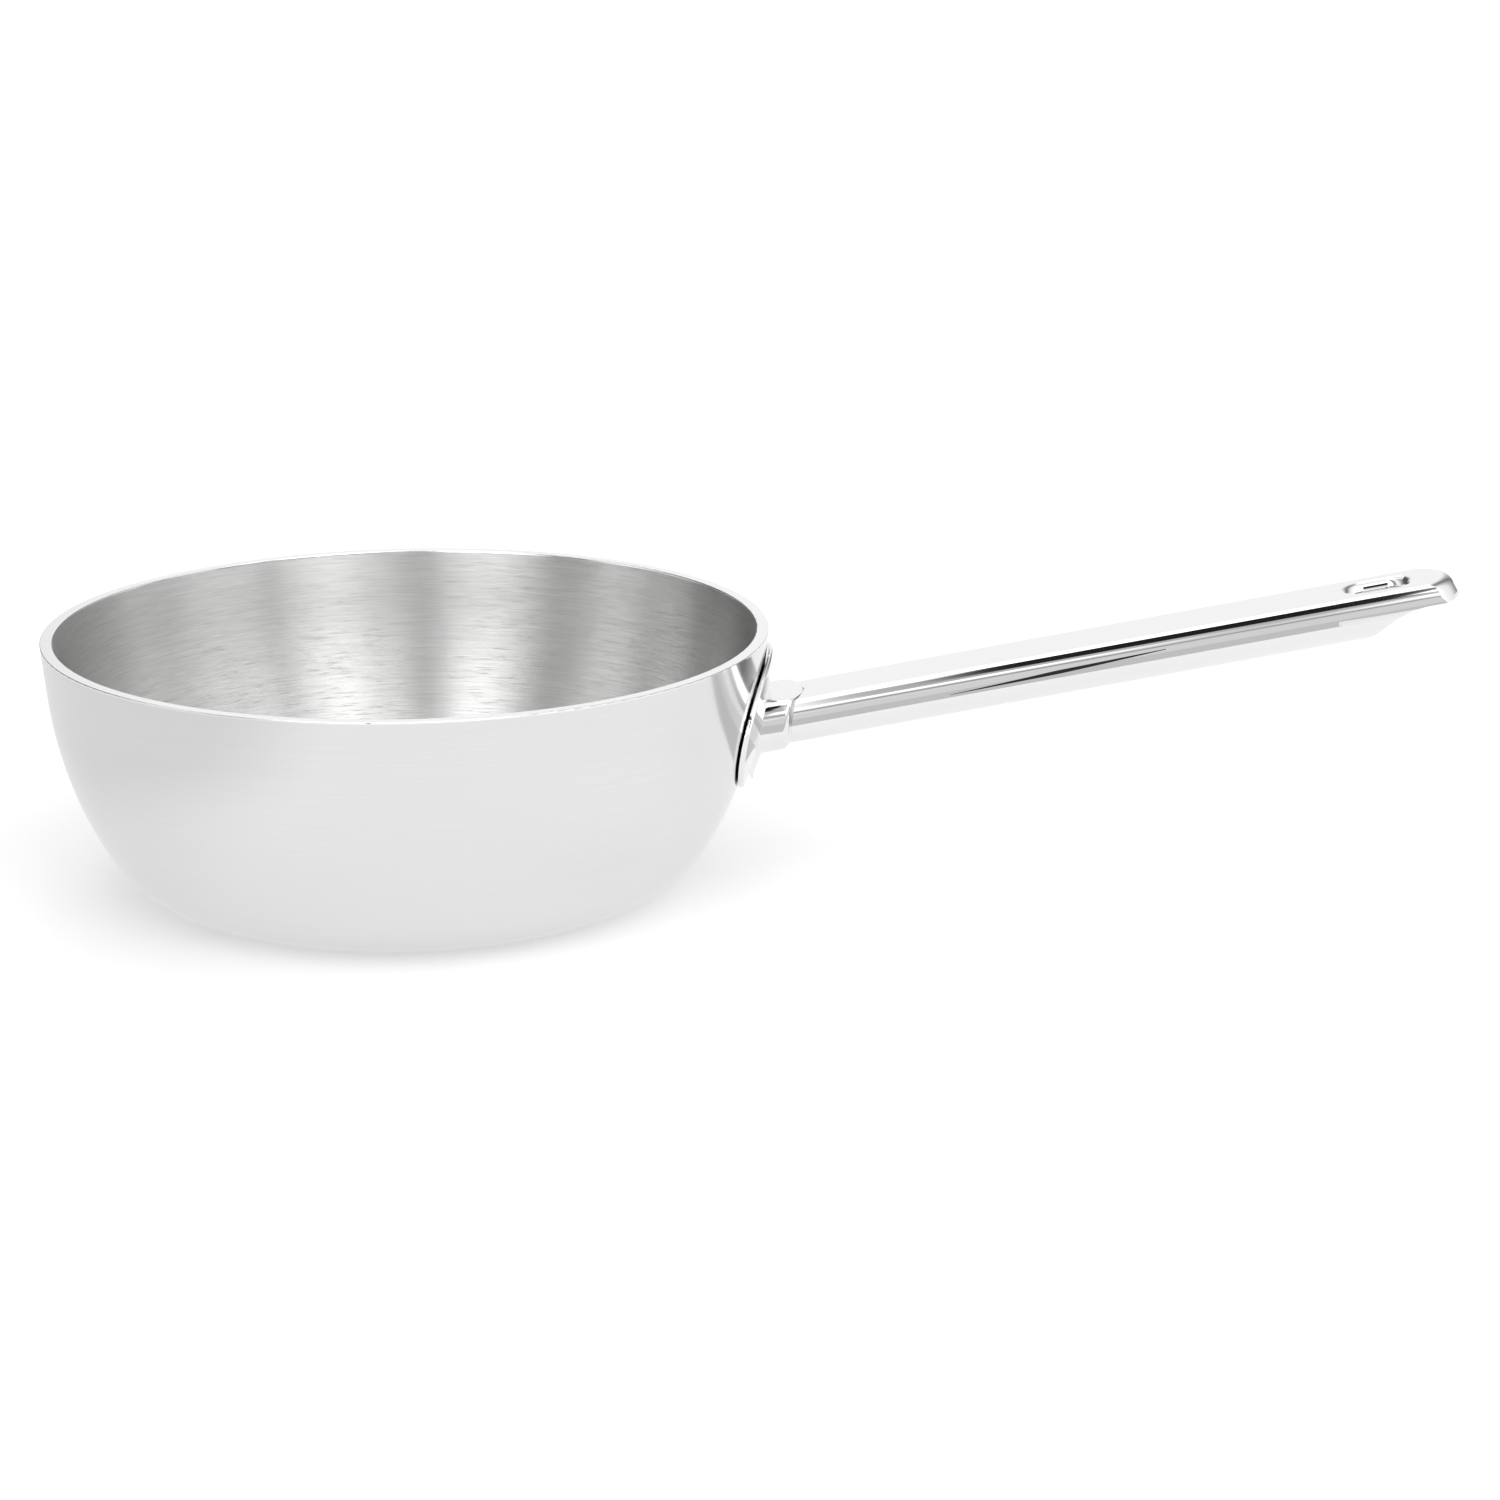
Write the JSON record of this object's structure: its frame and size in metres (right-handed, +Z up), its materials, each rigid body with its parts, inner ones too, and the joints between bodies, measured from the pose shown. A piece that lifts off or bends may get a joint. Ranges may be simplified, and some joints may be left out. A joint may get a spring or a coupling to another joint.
{
  "type": "saucier pan",
  "caption": "Round-bellied saucier pan of clad stainless steel with a straight hollow handle on a welded cast bracket and a hanging slot at the tip.",
  "frame": {"origin": "centre of the base's flat underside", "axes": "+Z up through the bowl's open mouth, +X from the bowl's axis towards the handle's tip"},
  "size_m": [0.4035, 0.2068, 0.0908],
  "materials": {
    "satin_steel": "fine satin stainless steel on the outside of the bowl",
    "brushed_inside": "stainless steel brushed in circles on the cooking face",
    "polished_steel": "ground and polished stainless steel rim",
    "mirror_steel": "mirror-polished stainless steel tube",
    "cast_steel": "polished cast stainless steel",
    "weld_metal": "dressed stainless steel weld",
    "aluminium_alloy": "rolled aluminium alloy bonding layer",
    "aluminium_core": "rolled pure aluminium core"
  },
  "bodies": {
    "root": {"outer_steel_layer": "satin_steel", "outer_alloy_layer": "aluminium_alloy", "aluminium_core": "aluminium_core", "inner_alloy_layer": "aluminium_alloy", "inner_steel_layer": "brushed_inside", "rim_seal": "polished_steel", "handle_bracket": "cast_steel", "bracket_weld_spots": "weld_metal", "neck_weld": "weld_metal", "handle_tube": "mirror_steel", "end_weld": "weld_metal", "handle_end": "cast_steel"}
  },
  "joints": []
}
